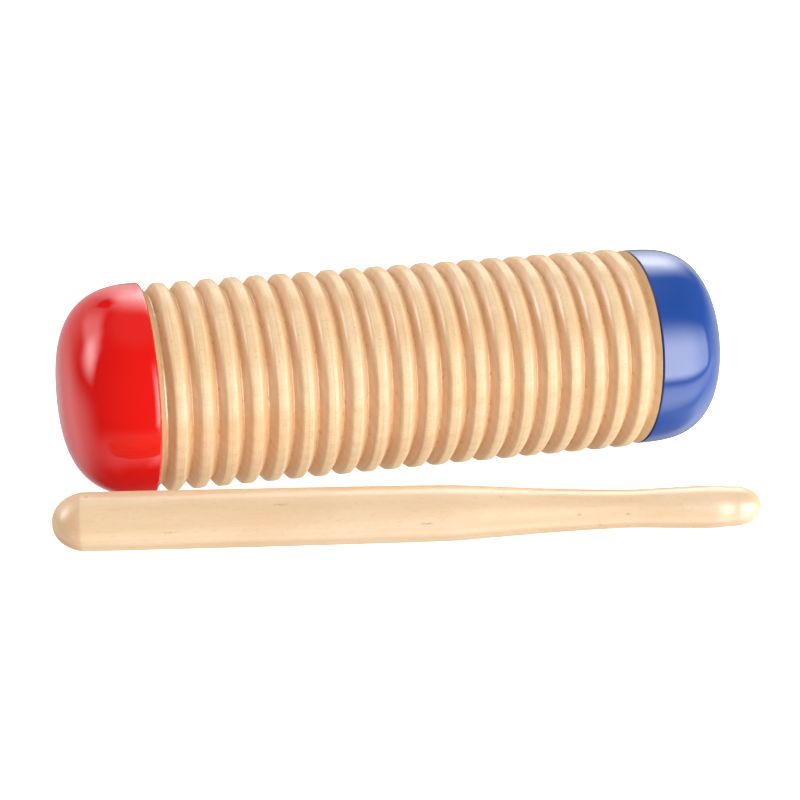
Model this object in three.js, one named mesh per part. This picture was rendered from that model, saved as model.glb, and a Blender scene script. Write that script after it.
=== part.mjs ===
// A wooden guiro shaker with its scraper stick: a turned, ribbed tube closed by a red and a blue end cap,
// loose beads sealed in the chamber between the caps, and the stick lying on the table in front of it.
// Millimetres. +X runs along the tube from the red cap to the blue cap, +Z is up, and Z = 0 is the table.

import * as THREE from "three";

// Tube: flat-topped ribs between V grooves. A short rim at each end climbs out of the last groove to the seam.
const RIB_COUNT = 20;
const RIB_PITCH = 7.3;
const CREST_RADIUS = 30.7;
const GROOVE_DEPTH = 2.95;
const LAND_HALF_WIDTH = 1.4;
const LAND_CROWN = 0.25;
const RIM_LENGTH = 2;
const RIM_RADIUS = 29.9;
const BORE_RADIUS = 23;
const TUBE_LENGTH = RIB_COUNT * RIB_PITCH + 2 * RIM_LENGTH;

// End caps: turned domes with a small flat at the pole and a spigot that plugs the bore.
const RED_CAP = { length: 25.5, radius: 31.1, fullness: 2.7, shoulder: 1.5, spigot: 12 };
const BLUE_CAP = { length: 24.6, radius: 29.9, fullness: 3.3, shoulder: 0.6, spigot: 12 };
const POLE_FLAT_RADIUS = 4;
const SPIGOT_CHAMFER = 1.2;
const FIT_GAP = 0.3;
const DOME_STEPS = 9;

// Stick: distances along it and the radius there, from the thick butt to the playing tip.
const STICK_PROFILE = [
  { at: 0, radius: 1.4 },
  { at: 0.9, radius: 3.5 },
  { at: 2.4, radius: 5.7 },
  { at: 4.6, radius: 7.3 },
  { at: 8.4, radius: 8.2 },
  { at: 54, radius: 8.15 },
  { at: 92, radius: 8 },
  { at: 109, radius: 7.85 },
  { at: 122, radius: 7.15 },
  { at: 139, radius: 6.15 },
  { at: 152, radius: 5.6 },
  { at: 161, radius: 5.4 },
  { at: 172, radius: 5.7 },
  { at: 184, radius: 6 },
  { at: 190, radius: 5.6 },
  { at: 194.5, radius: 4.5 },
  { at: 197, radius: 2.8 },
  { at: 197.8, radius: 1.2 },
];
const STICK_RADIUS = Math.max(...STICK_PROFILE.map((station) => station.radius));
const STICK_BUTT = { x: -107.8, y: -39.9 };
const STICK_HEADING_DEG = -11.4;

// Beads: each one rolls along its own stretch of a lane at the bottom of the bore.
const BEAD_RADIUS = 2.5;
const LANE_ANGLES_DEG = [-32, -16, 0, 16, 32];
const BEADS_PER_LANE = 4;
const BEAD_SCATTER = 4;

// Facets round each kind of piece. Multiples of four keep a corner straight down and straight up.
const TUBE_SIDES = 36;
const STICK_SIDES = 24;

const AXIS_HEIGHT = Math.max(CREST_RADIUS, RED_CAP.radius, BLUE_CAP.radius);
const TUBE_START = -TUBE_LENGTH / 2;
const TUBE_END = TUBE_LENGTH / 2;

const tubeWood = new THREE.MeshStandardMaterial({ color: 0xe9c493, roughness: 0.4, metalness: 0 });
const stickWood = new THREE.MeshStandardMaterial({ color: 0xf0d0a2, roughness: 0.5, metalness: 0 });
const redPaint = new THREE.MeshStandardMaterial({ color: 0xd81a14, roughness: 0.2, metalness: 0 });
const bluePaint = new THREE.MeshStandardMaterial({ color: 0x2350b4, roughness: 0.2, metalness: 0 });
const beadWood = new THREE.MeshStandardMaterial({ color: 0xb98a5a, roughness: 0.5, metalness: 0 });

// Turns a profile of { along, radius } points about the X axis, which the lathe itself does about Y.
function turned(name, profile, sides, material) {
  const points = profile.map((point) => new THREE.Vector2(point.radius, point.along));
  const mesh = new THREE.Mesh(new THREE.LatheGeometry(points, sides), material);
  mesh.name = name;
  mesh.rotation.z = -Math.PI / 2;
  return mesh;
}

// Profile of one rib, starting in the groove on its red side: up the flank, over the crowned land, down again.
function ribProfile(start) {
  const middle = start + RIB_PITCH / 2;
  return [
    { along: start, radius: CREST_RADIUS - GROOVE_DEPTH },
    { along: middle - LAND_HALF_WIDTH, radius: CREST_RADIUS - LAND_CROWN },
    { along: middle - LAND_HALF_WIDTH / 2, radius: CREST_RADIUS },
    { along: middle + LAND_HALF_WIDTH / 2, radius: CREST_RADIUS },
    { along: middle + LAND_HALF_WIDTH, radius: CREST_RADIUS - LAND_CROWN },
  ];
}

function ribbedTube() {
  const start = TUBE_START + FIT_GAP / 2;
  const end = TUBE_END - FIT_GAP / 2;
  const profile = [
    { along: start, radius: BORE_RADIUS },
    { along: start, radius: RIM_RADIUS },
  ];
  for (let rib = 0; rib < RIB_COUNT; rib += 1) {
    profile.push(...ribProfile(TUBE_START + RIM_LENGTH + rib * RIB_PITCH));
  }
  profile.push({ along: TUBE_END - RIM_LENGTH, radius: CREST_RADIUS - GROOVE_DEPTH });
  profile.push({ along: end, radius: RIM_RADIUS });
  profile.push({ along: end, radius: BORE_RADIUS });
  profile.push(profile[0]);
  return turned("ribbed_tube", profile, TUBE_SIDES, tubeWood);
}

// The cap points along +X with its seam at 0 and its pole at cap.length.
function capProfile(cap) {
  const spigotRadius = BORE_RADIUS - FIT_GAP;
  const profile = [
    { along: -cap.spigot, radius: 0 },
    { along: -cap.spigot, radius: spigotRadius - SPIGOT_CHAMFER },
    { along: SPIGOT_CHAMFER - cap.spigot, radius: spigotRadius },
    { along: FIT_GAP / 2, radius: spigotRadius },
    { along: FIT_GAP / 2, radius: cap.radius - cap.shoulder },
    { along: cap.shoulder, radius: cap.radius },
  ];
  const firstHeight = cap.shoulder / cap.length;
  const lastHeight = (1 - (POLE_FLAT_RADIUS / cap.radius) ** cap.fullness) ** (1 / cap.fullness);
  const firstTurn = Math.asin(firstHeight ** (cap.fullness / 2));
  const lastTurn = Math.asin(lastHeight ** (cap.fullness / 2));
  for (let step = 1; step <= DOME_STEPS; step += 1) {
    const turn = firstTurn + ((lastTurn - firstTurn) * step) / DOME_STEPS;
    profile.push({
      along: cap.length * Math.sin(turn) ** (2 / cap.fullness),
      radius: cap.radius * Math.cos(turn) ** (2 / cap.fullness),
    });
  }
  const pole = profile[profile.length - 1];
  profile.push({ along: pole.along, radius: 0 });
  return profile;
}

function endCap(name, cap, seam, facing, material) {
  const mesh = turned(name, capProfile(cap), TUBE_SIDES, material);
  if (facing < 0) {
    mesh.rotation.z = Math.PI / 2;
  }
  mesh.position.x = seam;
  return mesh;
}

function scraperStick() {
  const first = STICK_PROFILE[0];
  const last = STICK_PROFILE[STICK_PROFILE.length - 1];
  const profile = [
    { along: first.at, radius: 0 },
    ...STICK_PROFILE.map((station) => ({ along: station.at, radius: station.radius })),
    { along: last.at, radius: 0 },
  ];
  const lying = new THREE.Group();
  lying.add(turned("scraper_stick", profile, STICK_SIDES, stickWood));
  lying.rotation.z = THREE.MathUtils.degToRad(STICK_HEADING_DEG);
  lying.position.set(STICK_BUTT.x, STICK_BUTT.y, STICK_RADIUS);
  return lying;
}

// The beads rest on the bottom of the bore, scattered along their lanes.
function shakerBeads() {
  const chamberStart = TUBE_START + RED_CAP.spigot;
  const chamberEnd = TUBE_END - BLUE_CAP.spigot;
  const stretch = (chamberEnd - chamberStart) / BEADS_PER_LANE;
  const laneRadius = BORE_RADIUS - BEAD_RADIUS - FIT_GAP;
  const beads = [];
  LANE_ANGLES_DEG.forEach((angleDeg, lane) => {
    const angle = THREE.MathUtils.degToRad(angleDeg);
    for (let place = 0; place < BEADS_PER_LANE; place += 1) {
      const number = beads.length + 1;
      const scatter = (((number * 3) % 5) - 2) * (BEAD_SCATTER / 2);
      const bead = new THREE.Mesh(new THREE.IcosahedronGeometry(BEAD_RADIUS, 1), beadWood);
      bead.name = "shaker_bead_" + String(number).padStart(2, "0");
      bead.position.set(
        chamberStart + (place + 0.5) * stretch + scatter,
        laneRadius * Math.sin(angle),
        -laneRadius * Math.cos(angle),
      );
      beads.push(bead);
    }
  });
  return beads;
}

const instrument = new THREE.Group();
instrument.add(ribbedTube());
instrument.add(endCap("red_end_cap", RED_CAP, TUBE_START, -1, redPaint));
instrument.add(endCap("blue_end_cap", BLUE_CAP, TUBE_END, 1, bluePaint));
instrument.add(...shakerBeads());
instrument.position.z = AXIS_HEIGHT;

const guiro = new THREE.Group();
guiro.add(instrument);
guiro.add(scraperStick());

// Centre the whole set over the origin, leaving it standing on the table.
const box = new THREE.Box3().setFromObject(guiro, true);
const middle = box.getCenter(new THREE.Vector3());
guiro.position.x = -middle.x;
guiro.position.y = -middle.y;

export default guiro;
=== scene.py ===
"""Looks of the guiro: finer tube, caps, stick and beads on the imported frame, with light and camera."""

import math
import random

import bpy
import bmesh
from mathutils import Matrix, Vector, noise


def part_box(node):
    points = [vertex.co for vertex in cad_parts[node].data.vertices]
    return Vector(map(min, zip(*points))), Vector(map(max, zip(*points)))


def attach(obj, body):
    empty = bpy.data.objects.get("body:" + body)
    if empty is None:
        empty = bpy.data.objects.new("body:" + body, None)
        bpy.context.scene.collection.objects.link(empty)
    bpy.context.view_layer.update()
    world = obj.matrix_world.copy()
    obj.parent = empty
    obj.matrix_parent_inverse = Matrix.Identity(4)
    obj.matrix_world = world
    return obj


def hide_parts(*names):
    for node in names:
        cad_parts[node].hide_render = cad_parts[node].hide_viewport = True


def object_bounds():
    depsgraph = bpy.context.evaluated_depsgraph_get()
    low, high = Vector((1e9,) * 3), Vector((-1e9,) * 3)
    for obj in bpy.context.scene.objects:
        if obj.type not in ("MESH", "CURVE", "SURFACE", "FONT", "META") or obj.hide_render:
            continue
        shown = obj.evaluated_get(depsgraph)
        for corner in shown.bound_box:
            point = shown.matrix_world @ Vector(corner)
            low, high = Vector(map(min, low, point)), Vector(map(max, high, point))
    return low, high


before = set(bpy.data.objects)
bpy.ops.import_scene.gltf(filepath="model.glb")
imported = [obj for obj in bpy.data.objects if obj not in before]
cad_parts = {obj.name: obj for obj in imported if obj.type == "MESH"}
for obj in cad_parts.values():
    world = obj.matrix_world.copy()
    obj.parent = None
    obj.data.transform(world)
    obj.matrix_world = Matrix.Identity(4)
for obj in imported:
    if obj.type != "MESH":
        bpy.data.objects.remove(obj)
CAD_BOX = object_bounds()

MM = 0.001

# Tube, in metres: the CAD part's pitch, groove and bore, radii up to 0.05 mm slimmer, and a finer land.
RIB_COUNT = 20
RIB_PITCH = 7.3 * MM
CREST_RADIUS = 30.68 * MM
GROOVE_DEPTH = 2.95 * MM
LAND_HALF_WIDTH = 1.42 * MM
LAND_CROWN = 0.09 * MM
FLANK_BULGE = 0.14
RIDGE_ROUND = 0.29 * MM
RIM_LENGTH = 2.0 * MM
RIM_RADIUS = 29.85 * MM
BORE_RADIUS = 23.0 * MM
TUBE_LENGTH = RIB_COUNT * RIB_PITCH + 2 * RIM_LENGTH
TUBE_SIDES = 220
# Where the rib's section has its rings, in millimetres from the middle of the land.
RIB_STATIONS_MM = (-3.65, -3.45, -3.2, -2.6, -1.9, -1.68, -1.55, -1.42, -1.29, -1.16, -0.6, 0.0)
RIM_EDGE_DROP = 0.15 * MM
RIM_EDGE_WIDTH = 0.2 * MM
# Unevenness of the turning: the most a rib is cut low, its slow waver, and the torn grain in the grooves.
RIB_CUT_LOW = 0.06 * MM
RIB_WAVER = 0.07 * MM
TORN_DEPTH = 0.30 * MM
TORN_REACH = 1.2 * MM

# End caps: length from seam to pole, greatest radius, fullness of the dome, and rounding at the seam.
RED_CAP = {"length": 25.5 * MM, "radius": 31.08 * MM, "fullness": 2.7, "shoulder": 0.8 * MM}
BLUE_CAP = {"length": 24.58 * MM, "radius": 29.88 * MM, "fullness": 3.3, "shoulder": 0.7 * MM}
CAP_SPIGOT = 12.0 * MM
SPIGOT_CHAMFER = 1.2 * MM
POLE_RING_RADIUS = 0.5 * MM
CAP_SIDES = 224
DOME_STEPS = 64
SHOULDER_STEPS = 12
FIT_GAP = 0.3 * MM
SEAM_GAP = 0.02 * MM

# Stick: distance from the butt and the radius there, in millimetres, thinned and rounded from radii that
# a scratch program measured along the photographed outline.
STICK_SECTION_MM = (
    (8.4, 8.2), (54, 8.15), (92, 8.0), (109, 7.85), (122, 7.15), (139, 6.15),
    (152, 5.6), (161, 5.4), (172, 5.7), (184, 6.0), (190, 5.6),
)
STICK_LENGTH_MM = 197.8
STICK_HEADING = math.radians(-11.4)
STICK_SIDES = 128
STICK_RING_GAP_MM = 1.2
STICK_END_STEPS = 20
STICK_END_POWER = 0.9
BUTT_TURN = math.radians(78)

# How many times a bead's CAD mesh is subdivided.
BEAD_ROUNDING = 2

# Camera, from the tube's centre, in metres: the rounded result of fitting it to the photographed outline.
CAMERA_PLACE = Vector((-0.1579, -0.5967, 0.2078))
CAMERA_AIM = Vector((0.2442, 0.9106, -0.3335))
CAMERA_LENS = 97.34
CAMERA_SENSOR = 36
CAMERA_REACH = 50

# Floor: how far it lies below the lowest point, and half its width, in metres.
FLOOR_DROP = 0.05 * MM
FLOOR_HALF_WIDTH = 6

tube_low, tube_high = (Vector(corner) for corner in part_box("ribbed_tube"))
TUBE_CENTRE = (tube_low + tube_high) / 2


# ---------------------------------------------------------------- meshes


def mesh_object(name, vertices, faces, place=(0, 0, 0)):
    """A smooth-shaded object in the scene, made from its vertices and faces."""
    mesh = bpy.data.meshes.new(name)
    mesh.from_pydata(vertices, [], faces)
    mesh.validate()
    for polygon in mesh.polygons:
        polygon.use_smooth = True
    made = bpy.data.objects.new(name, mesh)
    bpy.context.scene.collection.objects.link(made)
    made.location = place
    return made


def exact(index, x, radius, angle):
    """A piece turned true: nothing is added to its radius."""
    return 0.0


def revolved(name, rings, sides, place, heading=0.0, hollow=False, wobble=exact):
    """A turned piece at place, its axis turned by heading from +X. rings are (x, radius).

    A hollow piece closes its last ring onto its first; any other is closed by a fan at each end.
    """
    vertices = []
    for index, (x, radius) in enumerate(rings):
        for side in range(sides):
            angle = 2 * math.pi * side / sides
            turned = radius + wobble(index, x, radius, angle)
            vertices.append((x, turned * math.cos(angle), turned * math.sin(angle)))
    faces = []
    count = len(rings)
    spans = count if hollow else count - 1
    for index in range(spans):
        here = index * sides
        there = ((index + 1) % count) * sides
        for side in range(sides):
            following = (side + 1) % sides
            faces.append((here + side, here + following, there + following, there + side))
    if not hollow:
        first = len(vertices)
        vertices.append((rings[0][0], 0.0, 0.0))
        last = len(vertices)
        vertices.append((rings[-1][0], 0.0, 0.0))
        end = (count - 1) * sides
        for side in range(sides):
            following = (side + 1) % sides
            faces.append((first, following, side))
            faces.append((last, end + side, end + following))
    made = mesh_object(name, vertices, faces, place)
    made.data.transform(Matrix.Rotation(heading, 4, "Z"))
    work = bmesh.new()
    work.from_mesh(made.data)
    bmesh.ops.recalc_face_normals(work, faces=work.faces)
    work.to_mesh(made.data)
    work.free()
    return made


def rib_depth(away):
    """Depth below the crest, away from the middle of the land: a crowned land, then a bulging flank."""
    away = abs(away)
    half = RIB_PITCH / 2
    if away > half:
        away = RIB_PITCH - away
    if away < LAND_HALF_WIDTH:
        return LAND_CROWN * (away / LAND_HALF_WIDTH) ** 2
    down = (away - LAND_HALF_WIDTH) / (half - LAND_HALF_WIDTH)
    return LAND_CROWN + (GROOVE_DEPTH - LAND_CROWN) * down * (1 - FLANK_BULGE * (1 - down))


def soft_rib_depth(away):
    """The same section with its ridges rounded over."""
    steps = 8
    total = 0.0
    for step in range(-steps, steps + 1):
        total += rib_depth(away + RIDGE_ROUND * step / steps)
    return total / (2 * steps + 1)


def tube_rings():
    """The tube's outer section from the red seam to the blue one, then the two rings of the bore."""
    start = -TUBE_LENGTH / 2
    stations = [at * MM for at in RIB_STATIONS_MM]
    stations += [-at * MM for at in reversed(RIB_STATIONS_MM[1:-1])]
    crown = soft_rib_depth(0.0)
    groove_radius = CREST_RADIUS - soft_rib_depth(RIB_PITCH / 2)
    rings = [(start + SEAM_GAP, RIM_RADIUS - RIM_EDGE_DROP), (start + RIM_EDGE_WIDTH, RIM_RADIUS)]
    for rib in range(RIB_COUNT):
        middle = start + RIM_LENGTH + (rib + 0.5) * RIB_PITCH
        for away in stations:
            rings.append((middle + away, CREST_RADIUS - soft_rib_depth(away) + crown))
    rings.append((start + RIM_LENGTH + RIB_COUNT * RIB_PITCH, groove_radius))
    rings.append((-start - RIM_EDGE_WIDTH, RIM_RADIUS))
    rings.append((-start - SEAM_GAP, RIM_RADIUS - RIM_EDGE_DROP))
    rings.append((-start - SEAM_GAP, BORE_RADIUS))
    rings.append((start + SEAM_GAP, BORE_RADIUS))
    return rings


def ribbed_tube():
    """The tube, turned slightly uneven and torn in the grooves, and true in the bore."""
    rng = random.Random(11)
    lean = [rng.uniform(-RIB_CUT_LOW, 0.0) for _ in range(RIB_COUNT)]
    rings = tube_rings()
    outer = len(rings) - 2
    groove_radius = CREST_RADIUS - soft_rib_depth(RIB_PITCH / 2)

    def wobble(index, x, radius, angle):
        if index >= outer:
            return 0.0
        pitches = (x + TUBE_LENGTH / 2 - RIM_LENGTH) / RIB_PITCH
        rib = min(RIB_COUNT - 1, max(0, int(pitches)))
        turn = Vector((rib * 3.7, math.cos(angle) * 2.4, math.sin(angle) * 2.4))
        slow = (noise.noise(turn) - 0.6) * RIB_WAVER
        fine = Vector((x / (2.2 * MM), math.cos(angle) * 22, math.sin(angle) * 22))
        in_groove = max(0.0, 1 - (radius - groove_radius) / TORN_REACH)
        torn = min(0.0, noise.noise(fine) - 0.12) * in_groove * TORN_DEPTH
        return lean[rib] + min(0.0, slow) + torn

    return revolved("ribbed_tube_turned", rings, TUBE_SIDES, TUBE_CENTRE, hollow=True, wobble=wobble)


def cap_rings(cap):
    """Section of a cap that points along +X: spigot, seam face, rounded shoulder and dome."""
    spigot = BORE_RADIUS - FIT_GAP
    shoulder = cap["shoulder"]
    face = SEAM_GAP
    rings = [
        (-CAP_SPIGOT, spigot * 0.5),
        (-CAP_SPIGOT, spigot - SPIGOT_CHAMFER),
        (SPIGOT_CHAMFER - CAP_SPIGOT, spigot),
        (face, spigot),
        (face, cap["radius"] - shoulder),
    ]
    for step in range(1, SHOULDER_STEPS + 1):
        turn = math.pi / 2 * step / SHOULDER_STEPS
        rings.append((
            face + (shoulder - face) * (1 - math.cos(turn)),
            cap["radius"] - shoulder + shoulder * math.sin(turn),
        ))
    power = 2 / cap["fullness"]
    first = math.asin((shoulder / cap["length"]) ** (1 / power))
    at_shoulder = cap["radius"] * math.cos(first) ** power
    for step in range(1, DOME_STEPS):
        turn = first + (math.pi / 2 - first) * step / DOME_STEPS
        rings.append((
            cap["length"] * math.sin(turn) ** power,
            cap["radius"] * math.cos(turn) ** power * cap["radius"] / at_shoulder,
        ))
    rings.append((cap["length"], POLE_RING_RADIUS))
    return rings


def end_cap(name, cap, seam, facing):
    """A cap whose seam is at that distance from the tube's middle, pointing the way of facing."""
    heading = 0.0 if facing > 0 else math.pi
    return revolved(name, cap_rings(cap), CAP_SIDES, TUBE_CENTRE + Vector((seam, 0, 0)), heading)


def smooth_through(points, x):
    """Value at x of a monotone cubic curve through points."""
    index = 0
    while index < len(points) - 2 and x > points[index + 1][0]:
        index += 1
    (x0, y0), (x1, y1) = points[index], points[index + 1]

    def slope(k):
        if k <= 0 or k >= len(points) - 1:
            return 0.0
        before = (points[k][1] - points[k - 1][1]) / (points[k][0] - points[k - 1][0])
        after = (points[k + 1][1] - points[k][1]) / (points[k + 1][0] - points[k][0])
        return 0.0 if before * after <= 0 else 2 * before * after / (before + after)

    span = x1 - x0
    t = (x - x0) / span
    m0 = slope(index) * span
    m1 = slope(index + 1) * span
    return (
        (2 * t**3 - 3 * t**2 + 1) * y0 + (t**3 - 2 * t**2 + t) * m0
        + (-2 * t**3 + 3 * t**2) * y1 + (t**3 - t**2) * m1
    )


def stick_rings():
    """Section of the stick from its butt: a rounded butt, the turned length and a rounded tip."""
    first_at, butt_radius = STICK_SECTION_MM[0]
    last_at, tip_radius = STICK_SECTION_MM[-1]
    rings = []
    for step in range(1, STICK_END_STEPS):
        turn = BUTT_TURN * step / STICK_END_STEPS
        rings.append((
            first_at * (1 - math.cos(turn)) / (1 - math.cos(BUTT_TURN)),
            butt_radius * (math.sin(turn) / math.sin(BUTT_TURN)) ** STICK_END_POWER,
        ))
    at = first_at
    while at < last_at:
        rings.append((at, smooth_through(STICK_SECTION_MM, at)))
        at += STICK_RING_GAP_MM
    for step in range(STICK_END_STEPS):
        turn = math.pi / 2 * step / STICK_END_STEPS
        rings.append((
            last_at + (STICK_LENGTH_MM - last_at) * math.sin(turn),
            tip_radius * math.cos(turn) ** STICK_END_POWER,
        ))
    return [(at * MM, radius * MM) for at, radius in rings]


def scraper_stick():
    """The stick lies on the table in the middle of its CAD box, its butt against the end of the box."""
    low, high = (Vector(corner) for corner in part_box("scraper_stick"))
    rings = stick_rings()
    along, across = math.cos(STICK_HEADING), math.sin(STICK_HEADING)
    reach_low_x = min(at * along - radius * abs(across) for at, radius in rings)
    reach_high_y = max(at * across + radius * along for at, radius in rings)
    reach_low_y = min(at * across - radius * along for at, radius in rings)
    widest = max(radius for at, radius in rings)
    middle_y = (low.y + high.y - reach_low_y - reach_high_y) / 2
    butt = Vector((low.x - reach_low_x, middle_y, low.z + widest))
    return revolved("scraper_stick_turned", rings, STICK_SIDES, butt, STICK_HEADING)


# ---------------------------------------------------------------- shader nodes


class Nodes:
    """Short calls for building a node tree."""

    def __init__(self, tree):
        self.tree = tree

    def node(self, kind, **settings):
        """A new node with those settings."""
        made = self.tree.nodes.new(kind)
        for key, value in settings.items():
            setattr(made, key, value)
        return made

    def feed(self, socket, value):
        """Links an output to the socket, or sets the value on it."""
        if isinstance(value, bpy.types.NodeSocket):
            self.tree.links.new(value, socket)
        else:
            socket.default_value = value

    def math(self, operation, *values):
        made = self.node("ShaderNodeMath", operation=operation)
        for index, value in enumerate(values):
            self.feed(made.inputs[index], value)
        return made.outputs[0]

    def add(self, *values):
        total = values[0]
        for value in values[1:]:
            total = self.math("ADD", total, value)
        return total

    def times(self, *values):
        total = values[0]
        for value in values[1:]:
            total = self.math("MULTIPLY", total, value)
        return total

    def step(self, value, low, high):
        """0 at low, 1 at high, smooth between, either way round."""
        made = self.node("ShaderNodeMapRange", interpolation_type="SMOOTHSTEP")
        self.feed(made.inputs["Value"], value)
        made.inputs["From Min"].default_value = low
        made.inputs["From Max"].default_value = high
        return made.outputs["Result"]

    def parts(self, vector):
        """The x, y and z outputs of a vector."""
        made = self.node("ShaderNodeSeparateXYZ")
        self.feed(made.inputs[0], vector)
        return made.outputs

    def mix(self, factor, first, second, blend="MIX"):
        made = self.node("ShaderNodeMix", data_type="RGBA", blend_type=blend)
        self.feed(made.inputs["Factor"], factor)
        self.feed(made.inputs[6], first)
        self.feed(made.inputs[7], second)
        return made.outputs[2]


class Surface(Nodes):
    """A material with texture and bump calls in the piece's own coordinates."""

    def __init__(self, name, heading=0.0):
        self.material = bpy.data.materials.new(name)
        self.material.use_nodes = True
        super().__init__(self.material.node_tree)
        self.bsdf = self.tree.nodes["Principled BSDF"]
        self.place = self.node("ShaderNodeTexCoord").outputs["Object"]
        if heading:
            turned = self.node("ShaderNodeVectorRotate", rotation_type="Z_AXIS")
            self.feed(turned.inputs["Vector"], self.place)
            turned.inputs["Angle"].default_value = -heading
            self.place = turned.outputs["Vector"]

    def set(self, **values):
        """Feeds the main shader's sockets by name."""
        for key, value in values.items():
            self.feed(self.bsdf.inputs[key.replace("_", " ")], value)

    def stretched(self, scale):
        """The piece's coordinates, scaled differently along each axis."""
        made = self.node("ShaderNodeMapping")
        self.feed(made.inputs["Vector"], self.place)
        made.inputs["Scale"].default_value = scale
        return made.outputs["Vector"]

    def noise(self, scale, detail=3.0, roughness=0.5):
        """Cloudy values round 0.5 whose scale is in cells per metre along each axis."""
        made = self.node("ShaderNodeTexNoise")
        self.feed(made.inputs["Vector"], self.stretched(scale))
        made.inputs["Scale"].default_value = 1.0
        made.inputs["Detail"].default_value = detail
        made.inputs["Roughness"].default_value = roughness
        return made.outputs["Fac"]

    def bump(self, height, distance, strength, below=None):
        """A normal bumped by height, on top of the normal below."""
        made = self.node("ShaderNodeBump")
        self.feed(made.inputs["Height"], height)
        made.inputs["Distance"].default_value = distance
        made.inputs["Strength"].default_value = strength
        if below is not None:
            self.feed(made.inputs["Normal"], below)
        return made.outputs["Normal"]

    def radius(self, offset=(0.0, 0.0)):
        """Distance from a line along X through offset."""
        parts = self.parts(self.place)
        across = self.math("SUBTRACT", parts[1], offset[0])
        up = self.math("SUBTRACT", parts[2], offset[1])
        return self.math("SQRT", self.add(self.times(across, across), self.times(up, up)))

    def spot(self, centre, size, soft=0.35):
        """1 at centre, falling to 0 at the edge of an ellipsoid of that size."""
        moved = self.node("ShaderNodeVectorMath", operation="SUBTRACT")
        self.feed(moved.inputs[0], self.place)
        moved.inputs[1].default_value = centre
        scaled = self.node("ShaderNodeVectorMath", operation="DIVIDE")
        self.feed(scaled.inputs[0], moved.outputs[0])
        scaled.inputs[1].default_value = size
        length = self.node("ShaderNodeVectorMath", operation="LENGTH")
        self.feed(length.inputs[0], scaled.outputs[0])
        return self.step(length.outputs["Value"], 1.0, soft)


# ---------------------------------------------------------------- materials

KNOT = (0.20, 0.08, 0.03, 1.0)
RUST = (0.62, 0.14, 0.05, 1.0)
AMBER = (0.80, 0.38, 0.12, 1.0)
UMBER = (0.50, 0.27, 0.12, 1.0)

# Along, radius, angle up from the front, length, width, strength and tint, in millimetres and degrees.
# Along is from the tube's middle, or from the stick's butt. A scratch program worked out along, radius and
# angle from spots picked by eye on the photograph; the rest was chosen by eye.
TUBE_MARKS = (
    (17.1, 29.6, 2, 0.6, 0.5, 0.8, KNOT),
    (57.9, 30.6, 31, 3.4, 0.7, 0.55, AMBER),
    (55.6, 30.6, 31, 0.8, 0.5, 0.7, AMBER),
    (44.8, 29.5, -27, 0.5, 0.5, 0.6, UMBER),
    (-9.3, 30.4, 66, 2.6, 1.1, 0.60, UMBER),
    (-21.1, 28.6, 49, 0.7, 7.0, 0.55, AMBER),
    (-21.6, 29.4, -23, 0.6, 0.9, 0.85, RUST),
    (-72.7, 29.0, 17, 0.5, 0.5, 0.9, KNOT),
    (-69.4, 29.5, 72, 0.8, 0.8, 0.5, UMBER),
    (-62.3, 29.5, 74, 0.8, 0.8, 0.4, UMBER),
)
STICK_MARKS = (
    (9.7, 8.1, 78, 1.0, 0.8, 0.9, UMBER),
    (32.3, 8.2, -3, 2.8, 0.5, 0.6, UMBER),
    (63.0, 8.1, 47, 2.8, 0.5, 0.6, UMBER),
    (103.2, 7.9, 2, 2.8, 0.5, 0.7, UMBER),
    (124.7, 7.0, 58, 1.8, 0.5, 0.8, UMBER),
    (145.6, 5.8, 9, 1.2, 0.5, 0.6, UMBER),
    (159.4, 5.4, 7, 1.6, 0.5, 0.7, UMBER),
    (152.0, 5.6, -28, 1.4, 0.4, 0.5, UMBER),
)


# Each wood runs from pale through tan patches to darker streaks.
TUBE_PALE, TUBE_TAN, TUBE_STREAK = (0.94, 0.705, 0.435, 1), (0.91, 0.645, 0.375, 1), (0.71, 0.400, 0.180, 1)
STICK_PALE, STICK_TAN, STICK_STREAK = (0.99, 0.745, 0.495, 1), (0.95, 0.665, 0.410, 1), (0.83, 0.49, 0.25, 1)
BEAD_PALE, BEAD_TAN, BEAD_STREAK = (0.42, 0.22, 0.10, 1), (0.34, 0.17, 0.07, 1), (0.22, 0.10, 0.04, 1)
# What the cuts, the groove bottoms, the rims and the stick's butt do to the wood's colour. The cuts darken it
# partly for their end grain and partly as painted shade, the groove bottoms darken it as painted shade, and
# the butt darkens it partly for its end grain and partly as painted shade.
CUT_GRAIN_AND_SHADE_TINT = (0.92, 0.83, 0.78, 1)
GROOVE_SHADE_TINT = (0.93, 0.88, 0.84, 1)
RIM_TINT = (0.90, 0.86, 0.78, 1)
BUTT_GRAIN_AND_SHADE_TINT = (0.93, 0.88, 0.82, 1)
TORN_GRAIN = (0.46, 0.22, 0.09, 1)
# Where those tints begin and are full: depth below the crest, and distance from the stick's butt.
CUT_RANGE = (0.1 * MM, 0.9 * MM)
GROOVE_RANGE = (1.2 * MM, 2.7 * MM)
BUTT_GRAIN_AND_SHADE_RANGE = (8.6 * MM, 8.0 * MM)

# Paint: its colour, where it lies thicker, its colour in the darker line along the seam, and how wide that
# is.
RED_PAINT = ((0.85, 0.010, 0.007, 1), (0.81, 0.008, 0.006, 1), (0.45, 0.02, 0.008, 1), 0.25 * MM)
BLUE_PAINT = ((0.026, 0.088, 0.375, 1), (0.020, 0.076, 0.345, 1), (0.04, 0.02, 0.13, 1), 0.6 * MM)


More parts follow.
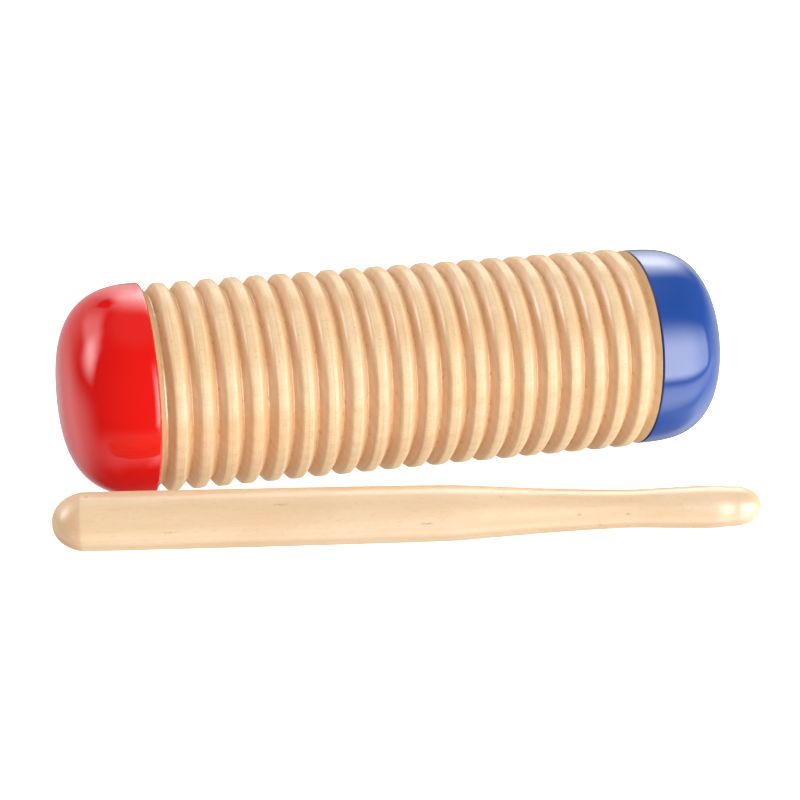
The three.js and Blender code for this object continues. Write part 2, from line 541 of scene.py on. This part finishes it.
def wood_colour(surface, pale, tan, streak, pith, ring_gap, ring_strength):
    """Turned wood: growth rings round a pith line along X, fibre streaks and cloudy patches."""
    warp = surface.noise((9, 45, 45), detail=3.0)
    reach = surface.add(surface.radius(pith), surface.times(warp, 5 * MM))
    wave = surface.math("SINE", surface.times(reach, 2 * math.pi / ring_gap))
    rings = surface.step(wave, -0.2, 1.0)
    cloudy = surface.noise((22, 70, 70), detail=4.0, roughness=0.6)
    fibres = surface.noise((45, 1500, 1500), detail=4.0, roughness=0.7)
    colour = surface.mix(surface.step(cloudy, 0.35, 0.7), pale, tan)
    colour = surface.mix(surface.times(rings, ring_strength), colour, streak)
    colour = surface.mix(surface.times(surface.step(fibres, 0.52, 0.8), 0.30), colour, streak)
    return colour, fibres


def marked(surface, colour, marks):
    """Knots, flecks and small dents over the colour."""
    ragged = surface.noise((900, 1800, 1800), detail=2.0, roughness=0.7)
    for along, radius, angle, length, width, strength, tint in marks:
        turn = math.radians(angle)
        centre = Vector((along, -radius * math.cos(turn), radius * math.sin(turn))) * MM
        size = Vector((length, width, width)) * MM
        edge = surface.step(ragged, 0.35, 0.6)
        spot = surface.times(surface.spot(centre, size, 0.1), edge, strength)
        colour = surface.mix(spot, colour, tint)
    return colour


def tube_colour(surface, reach, cut):
    """Colour of the tube, and the mask of the chips torn from its grooves."""
    colour, fibres = wood_colour(
        surface, TUBE_PALE, TUBE_TAN, TUBE_STREAK,
        pith=(0.045, -0.035), ring_gap=3.1 * MM, ring_strength=0.14,
    )
    groove = surface.step(reach, CREST_RADIUS - GROOVE_RANGE[0], CREST_RADIUS - GROOVE_RANGE[1])
    # The cut flanks are darkened, partly for their end grain and partly as painted shade.
    colour = surface.mix(cut, colour, CUT_GRAIN_AND_SHADE_TINT, "MULTIPLY")
    # Painted shade: the groove bottoms are darkened.
    colour = surface.mix(groove, colour, GROOVE_SHADE_TINT, "MULTIPLY")
    colour = surface.mix(rim_mask(surface), colour, RIM_TINT, "MULTIPLY")
    turning = surface.noise((3600, 25, 25), detail=2.0, roughness=0.6)
    colour = surface.mix(surface.times(surface.step(turning, 0.48, 0.72), 0.50), colour, TUBE_STREAK)
    specks = surface.noise((900, 1500, 1500), detail=2.0, roughness=0.7)
    colour = surface.mix(surface.times(surface.step(specks, 0.52, 0.75), 0.42), colour, TUBE_STREAK)
    torn = surface.noise((1300, 520, 520), detail=3.0, roughness=0.7)
    chips = surface.times(surface.step(torn, 0.57, 0.66), groove)
    colour = surface.mix(surface.times(chips, 0.55), colour, TORN_GRAIN)
    return marked(surface, colour, TUBE_MARKS), fibres, turning, chips


def rim_mask(surface):
    """1 on the plain rim at each end of the tube."""
    from_middle = surface.math("ABSOLUTE", surface.parts(surface.place)[0])
    return surface.step(from_middle, TUBE_LENGTH / 2 - RIM_LENGTH, TUBE_LENGTH / 2 - 0.7 * RIM_LENGTH)


def tube_wood():
    """Lacquered wood: an even sheen on the lands, a streaky one on the cut flanks, none on the rims."""
    surface = Surface("tube_wood")
    reach = surface.radius()
    cut = surface.step(reach, CREST_RADIUS - CUT_RANGE[0], CREST_RADIUS - CUT_RANGE[1])
    colour, fibres, turning, chips = tube_colour(surface, reach, cut)
    streaky = surface.noise((2600, 60, 60), detail=2.0, roughness=0.6)
    cut_sheen = surface.times(cut, surface.add(-0.36, surface.times(streaky, 0.50)))
    off_rim = surface.math("SUBTRACT", 1.0, rim_mask(surface))
    surface.set(
        Base_Color=colour, Roughness=0.6, Specular_IOR_Level=0.0,
        Coat_Weight=surface.times(surface.add(0.42, cut_sheen), off_rim),
        Coat_IOR=surface.add(1.6, surface.times(cut, 2.4)), Coat_Roughness=0.30,
    )
    end_grain = surface.noise((1600, 1600, 1600), detail=2.0, roughness=0.6)
    rough = surface.times(end_grain, surface.add(0.25, surface.times(cut, 0.75)))
    grain = surface.add(surface.times(fibres, 0.4), surface.times(turning, 0.4), rough)
    normal = surface.bump(grain, 0.08 * MM, 0.45)
    normal = surface.bump(chips, 0.15 * MM, -0.5, normal)
    surface.set(Normal=normal, Coat_Normal=surface.bump(grain, 0.04 * MM, 0.35))
    return surface.material


def stick_wood():
    """Sanded wood under a thin satin lacquer, darker on the butt, partly for its end grain and partly as
    painted shade.
    """
    surface = Surface("stick_wood", STICK_HEADING)
    colour, fibres = wood_colour(
        surface, STICK_PALE, STICK_TAN, STICK_STREAK,
        pith=(0.03, -0.02), ring_gap=2.2 * MM, ring_strength=0.16,
    )
    specks = surface.noise((500, 1500, 1500), detail=2.0, roughness=0.7)
    colour = surface.mix(surface.times(surface.step(specks, 0.52, 0.72), 0.30), colour, STICK_STREAK)
    # The butt is darkened, partly for its end grain and partly as painted shade.
    end_grain = surface.step(surface.parts(surface.place)[0], *BUTT_GRAIN_AND_SHADE_RANGE)
    colour = surface.mix(end_grain, colour, BUTT_GRAIN_AND_SHADE_TINT, "MULTIPLY")
    surface.set(
        Base_Color=marked(surface, colour, STICK_MARKS), Roughness=0.6, Specular_IOR_Level=0.0,
        Coat_Weight=0.24, Coat_Roughness=0.31, Coat_IOR=4.0,
    )
    surface.set(Normal=surface.bump(fibres, 0.05 * MM, 0.4))
    return surface.material


def paint(name, colour, deeper, edge, edge_width):
    """Gloss paint, darker in a line along the seam."""
    surface = Surface(name)
    thick = surface.noise((60, 60, 60), detail=3.0)
    from_seam = surface.math("ABSOLUTE", surface.parts(surface.place)[0])
    at_edge = surface.step(from_seam, edge_width, 0.4 * edge_width)
    body = surface.mix(surface.step(thick, 0.35, 0.75), colour, deeper)
    surface.set(
        Base_Color=surface.mix(at_edge, body, edge),
        Roughness=0.5, Specular_IOR_Level=0.0, Coat_Weight=1.0, Coat_Roughness=0.04,
    )
    peel = surface.noise((420, 420, 420), detail=1.0)
    grain = surface.noise((40, 500, 500), detail=2.0)
    normal = surface.bump(peel, 0.05 * MM, 0.12)
    normal = surface.bump(grain, 0.05 * MM, 0.10, normal)
    surface.set(Normal=normal, Coat_Normal=normal)
    return surface.material


def bead_wood():
    """Plain small beads, without lacquer."""
    surface = Surface("bead_wood")
    colour, fibres = wood_colour(
        surface, BEAD_PALE, BEAD_TAN, BEAD_STREAK,
        pith=(0.01, 0.01), ring_gap=0.8 * MM, ring_strength=0.4,
    )
    surface.set(Base_Color=colour, Roughness=0.6, Normal=surface.bump(fibres, 0.05 * MM, 0.4))
    return surface.material


# ---------------------------------------------------------------- stage

# Bright cards round the set, as seen in the gloss, in degrees. Azimuth runs from the front (-Y) towards +X.
# azimuth and elevation are where a card begins, where it is full, where it starts to fade and where it ends.
# A card with a facing is a flat upright rectangle turned to that azimuth, so its edges draw in to its sides.
# light is the share of a card's glow that also lights the surfaces, where it isn't CARD_LIGHT.
# The window bar's glow is negative: it darkens the gloss across part of the back window.
# Most of these numbers were not chosen by hand. They are the rounded result of a scratch program that fitted
# the cards to highlights on the photographed caps: the right wall, back wall, left glow, table to the left
# and back left wall in full, the left box but for one edge, and parts of the table to the right, the back
# window and the table.
# DARKEST_GLOSS and the ceiling's glow came from the same fit. The other cards and values were set one by one.
CARDS = (
    {"name": "key window", "azimuth": (6, 13, 66, 76), "elevation": (-29, -17, 8, 46), "glow": 4.9,
     "facing": 14},
    {"name": "key window core", "azimuth": (6, 13, 28, 66), "elevation": (-29, -17, 8, 52), "glow": 4.6,
     "facing": 14},
    {"name": "right wall", "azimuth": (65, 87, 105, 175), "elevation": (-60, -47, -3, 26), "glow": 1.2},
    {"name": "table to the right", "azimuth": (4, 18, 53, 102), "elevation": (-80, -44, -37, -26),
     "glow": 2.9, "facing": 14},
    {"name": "back window", "azimuth": (114, 147, 148, 214), "elevation": (18, 49, 51, 76), "glow": 5.2,
     "light": 0.2},
    {"name": "back wall", "azimuth": (128, 149, 150, 196), "elevation": (-8, 39, 41, 55), "glow": 3.7,
     "light": 0.2},
    {"name": "left box", "azimuth": (-122, -96, -94, -76), "elevation": (3, 25, 27, 54), "glow": 6.7},
    {"name": "left glow", "azimuth": (-167, -118, -108, -87), "elevation": (18, 33, 46, 61), "glow": 2.5},
    {"name": "table to the left", "azimuth": (-162, -111, -109, -65), "elevation": (-67, -19, -16, 7),
     "glow": 1.2},
    {"name": "table", "azimuth": (-118, -48, 52, 192), "elevation": (-80, -56, -46, -22), "glow": 0.9},
    {"name": "back left wall", "azimuth": (168, 176, 218, 251), "elevation": (-53, -30, 21, 33), "glow": 0.5},
    {"name": "window bar", "azimuth": (-178, -168, -162, -152), "elevation": (32, 38, 46, 54), "glow": -1.2,
     "light": 0.0},
)
CARD_LIGHT = 0.495
DARKEST_GLOSS = 0.07
CEILING = {"elevation": (55, 75), "glow": 0.23}

# Soft light from whole sides of the room, as (where it begins, where it is full) along each direction.
ROOM_LIGHT = 0.12
ROOM_SIDES = (
    {"name": "high behind", "z": (0.2, 0.7), "y": (-0.3, 0.3), "glow": 0.30},
    {"name": "high right", "z": (0.2, 0.8), "x": (-0.3, 0.5), "glow": 0.42},
    {"name": "high front", "z": (0.1, 0.6), "y": (-0.1, -0.8), "glow": 0.30},
    {"name": "table", "z": (-0.1, -0.9), "x": (-0.2, 0.6), "glow": 0.33},
    {"name": "back left", "x": (0.1, -0.5), "y": (-0.4, 0.1), "glow": 0.50},
)


def card_glow(nodes, card, azimuth, elevation):
    """What one card adds in a direction."""
    middle = (card["azimuth"][0] + card["azimuth"][3]) / 2
    around = nodes.math("WRAP", nodes.math("SUBTRACT", azimuth, middle), 180.0, -180.0)
    height = elevation
    if "facing" in card:
        turn = nodes.times(nodes.math("SUBTRACT", azimuth, float(card["facing"])), math.pi / 180)
        height = nodes.math("DIVIDE", elevation, nodes.math("MAXIMUM", nodes.math("COSINE", turn), 0.3))
    a0, a1, a2, a3 = (edge - middle for edge in card["azimuth"])
    e0, e1, e2, e3 = card["elevation"]
    return nodes.times(
        nodes.step(around, a0, a1), nodes.step(around, a3, a2),
        nodes.step(height, e0, e1), nodes.step(height, e3, e2), card["glow"],
    )


def studio():
    """The gloss sees the cards, the same cards dimmed light the surfaces, and the backdrop is white."""
    world = bpy.data.worlds.new("studio")
    bpy.context.scene.world = world
    world.use_nodes = True
    nodes = Nodes(world.node_tree)
    background = world.node_tree.nodes["Background"]
    x, y, z = nodes.parts(nodes.node("ShaderNodeTexCoord").outputs["Generated"])
    directions = {"x": x, "y": y, "z": z}
    azimuth = nodes.times(nodes.math("ARCTAN2", x, nodes.times(y, -1.0)), 180 / math.pi)
    elevation = nodes.times(nodes.math("ARCSINE", z), 180 / math.pi)
    ceiling = nodes.times(nodes.step(elevation, *CEILING["elevation"]), CEILING["glow"])
    gloss = nodes.add(DARKEST_GLOSS, ceiling)
    room = ROOM_LIGHT
    for side in ROOM_SIDES:
        steps = [nodes.step(along, *side[key]) for key, along in directions.items() if key in side]
        room = nodes.add(room, nodes.times(*steps, side["glow"]))
    for card in CARDS:
        seen = card_glow(nodes, card, azimuth, elevation)
        gloss = nodes.add(gloss, seen)
        room = nodes.add(room, nodes.times(seen, card.get("light", CARD_LIGHT)))
    gloss = nodes.math("MAXIMUM", gloss, DARKEST_GLOSS)
    ray = nodes.node("ShaderNodeLightPath").outputs
    is_gloss = ray["Is Glossy Ray"]
    strength = nodes.add(
        nodes.times(gloss, is_gloss),
        nodes.times(room, nodes.math("SUBTRACT", 1.0, is_gloss)),
    )
    nodes.feed(background.inputs["Strength"], nodes.math("MAXIMUM", strength, ray["Is Camera Ray"]))
    background.inputs["Color"].default_value = (1, 1, 1, 1)


def floor():
    """A pale table top, bright enough to read as white, that leaves the light to the room."""
    height = CAD_BOX[0][2] - FLOOR_DROP
    corners = [(-1, -1), (1, -1), (1, 1), (-1, 1)]
    made = mesh_object(
        "studio_floor",
        [(x * FLOOR_HALF_WIDTH, y * FLOOR_HALF_WIDTH, height) for x, y in corners],
        [(0, 1, 2, 3)],
    )
    surface = Surface("studio_floor")
    surface.set(
        Base_Color=(0.92, 0.92, 0.92, 1), Roughness=0.7,
        Emission_Color=(1, 1, 1, 1), Emission_Strength=1.0,
    )
    made.data.materials.append(surface.material)
    made.visible_diffuse = False
    made.visible_glossy = False
    made.visible_shadow = False


def camera():
    """The camera stands at its place from the tube's centre and looks along its aim."""
    data = bpy.data.cameras.new("camera")
    data.lens = CAMERA_LENS
    data.sensor_width = CAMERA_SENSOR
    data.clip_end = CAMERA_REACH
    made = bpy.data.objects.new("camera", data)
    made.location = TUBE_CENTRE + CAMERA_PLACE
    made.rotation_euler = CAMERA_AIM.to_track_quat("-Z", "Y").to_euler()
    bpy.context.scene.collection.objects.link(made)
    bpy.context.scene.camera = made


# ---------------------------------------------------------------- assembly


def finish_piece(piece, material, body, node):
    """Paints the piece, hangs it on its body, and puts it in place of its CAD node."""
    piece.data.materials.append(material)
    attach(piece, body)
    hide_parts(node)


camera()
studio()
floor()
finish_piece(ribbed_tube(), tube_wood(), "shaker", "ribbed_tube")
finish_piece(
    end_cap("red_end_cap_painted", RED_CAP, -TUBE_LENGTH / 2, -1), paint("red_paint", *RED_PAINT),
    "shaker", "red_end_cap",
)
finish_piece(
    end_cap("blue_end_cap_painted", BLUE_CAP, TUBE_LENGTH / 2, 1), paint("blue_paint", *BLUE_PAINT),
    "shaker", "blue_end_cap",
)
finish_piece(scraper_stick(), stick_wood(), "stick", "scraper_stick")

bead_material = bead_wood()
for node_name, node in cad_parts.items():
    if node_name.startswith("shaker_bead_"):
        rounder = node.modifiers.new("rounder", "SUBSURF")
        rounder.levels = BEAD_ROUNDING
        rounder.render_levels = BEAD_ROUNDING
        for material_slot in node.material_slots:
            material_slot.material = bead_material

scene = bpy.context.scene
scene.view_settings.view_transform = "Standard"

bpy.context.view_layer.update()
